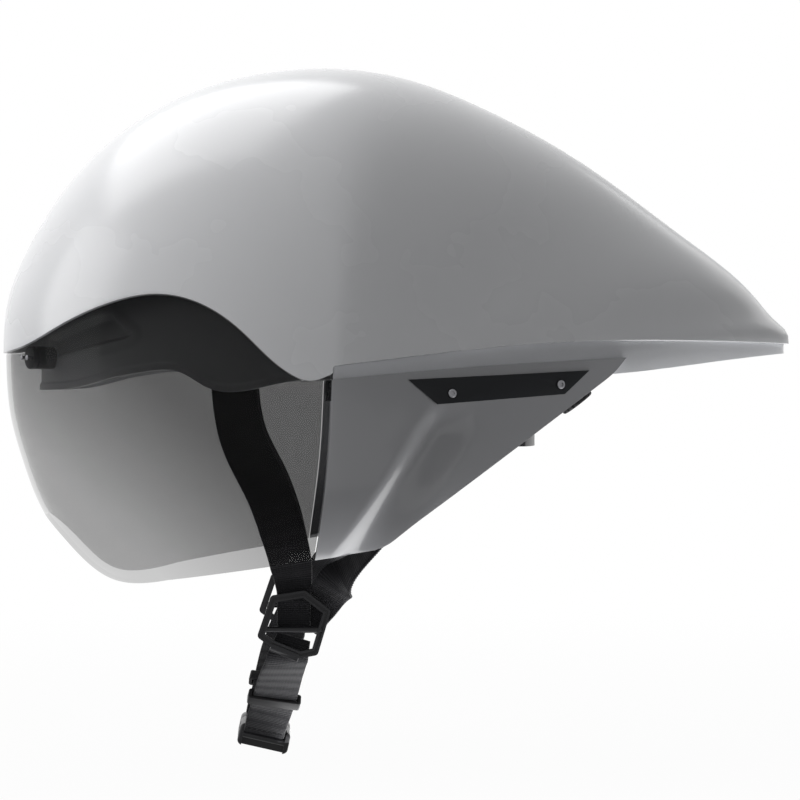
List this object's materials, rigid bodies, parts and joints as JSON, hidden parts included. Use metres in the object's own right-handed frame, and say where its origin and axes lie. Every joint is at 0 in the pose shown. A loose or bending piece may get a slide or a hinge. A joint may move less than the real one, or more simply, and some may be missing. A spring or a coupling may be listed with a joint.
{
  "type": "aero time trial helmet",
  "caption": "Teardrop time trial bicycle helmet with a wraparound smoke visor, side shields over the ears, a dial-tightened rear cradle and a buckled chin strap.",
  "frame": {"origin": "centre of the head opening at rim level, in the middle plane", "axes": "+X to the tail, -Y to the wearer's left, +Z to the crown"},
  "size_m": [0.357, 0.202, 0.3082],
  "materials": {
    "shell_white": "satin white, clear coated",
    "belly_silver": "satin silver white",
    "foam_black": "expanded polystyrene, matt black",
    "frame_grey": "moulded, satin dark grey",
    "lens_smoke": "clear smoke polycarbonate, polished",
    "shield_grey": "gloss smoke grey",
    "plate_black": "satin black",
    "trim_black": "satin black",
    "screw_steel": "blackened",
    "magnet_dark": "satin",
    "socket_brass": "knurled",
    "pad_fabric": "brushed knit over foam",
    "webbing_black": "ribbed polyester webbing",
    "rubber_black": "matt"
  },
  "bodies": {
    "helmet": {"outer_shell": "shell_white", "tail_belly_panel": "belly_silver", "foam_liner": "foam_black", "brow_frame": "frame_grey", "brow_magnets": "magnet_dark", "brow_pad": "pad_fabric", "crown_pad": "pad_fabric", "buckle_female": "trim_black", "retention_track": "trim_black", "side_shield_left": "shield_grey", "shield_plate_left": "plate_black", "shield_screws_left": "screw_steel", "screw_sockets_left": "socket_brass", "side_pad_left": "pad_fabric", "front_strap_left": "webbing_black", "rear_strap_left": "webbing_black", "chin_strap_left": "webbing_black", "chin_strap_end_left": "webbing_black", "strap_anchors_left": "trim_black", "strap_divider_left": "trim_black", "strap_keeper_left": "rubber_black", "side_band_left": "trim_black", "band_pin_left": "trim_black", "side_shield_right": "shield_grey", "shield_plate_right": "plate_black", "shield_screws_right": "screw_steel", "screw_sockets_right": "socket_brass", "side_pad_right": "pad_fabric", "front_strap_right": "webbing_black", "rear_strap_right": "webbing_black", "chin_strap_right": "webbing_black", "chin_strap_end_right": "webbing_black", "strap_anchors_right": "trim_black", "strap_divider_right": "trim_black", "strap_keeper_right": "rubber_black", "side_band_right": "trim_black", "band_pin_right": "trim_black"},
    "visor": {"visor_lens": "lens_smoke", "visor_magnets": "magnet_dark", "visor_rivets": "screw_steel"},
    "cradle": {"cradle_yoke": "trim_black", "cradle_pads": "pad_fabric"},
    "dial": {"fit_dial": "trim_black"},
    "belt_left": {"fit_belt_left": "trim_black"},
    "belt_right": {"fit_belt_right": "trim_black"},
    "buckle_plug": {"buckle_male": "trim_black", "buckle_prongs": "trim_black"}
  },
  "joints": [
    {"name": "visor_release", "type": "slide", "parent": "helmet", "child": "visor", "axis": [-0.891, 0, -0.454], "range_m": [0, 0.15]},
    {"name": "cradle_height", "type": "slide", "parent": "helmet", "child": "cradle", "axis": [-0.7912, 0, -0.6115], "range_m": [0, 0.008], "deforming": ["side_band_left", "side_band_right"]},
    {"name": "dial_turn", "type": "hinge", "parent": "cradle", "child": "dial", "pos_m": [0.12384, 0, -0.00695], "axis": [0.6115, 0, -0.7912], "range_deg": [0, 80], "deforming": ["side_band_left", "side_band_right"]},
    {"name": "belt_left_draw", "type": "slide", "parent": "cradle", "child": "belt_left", "axis": [0, 1, 0], "range_m": [0, 0.00558], "deforming": ["side_band_left", "side_band_right"]},
    {"name": "belt_right_draw", "type": "slide", "parent": "cradle", "child": "belt_right", "axis": [0, -1, 0], "range_m": [0, 0.0056], "deforming": ["side_band_left", "side_band_right"]},
    {"name": "buckle_release", "type": "slide", "parent": "helmet", "child": "buckle_plug", "axis": [0, 1, 0], "range_m": [0, 0.022], "deforming": ["chin_strap_end_right", "buckle_prongs"]}
  ],
  "couplings": [
    {"joint": "dial_turn", "follows": "belt_left_draw", "rad_per_m": 250},
    {"joint": "belt_right_draw", "follows": "belt_left_draw", "ratio": 1}
  ]
}
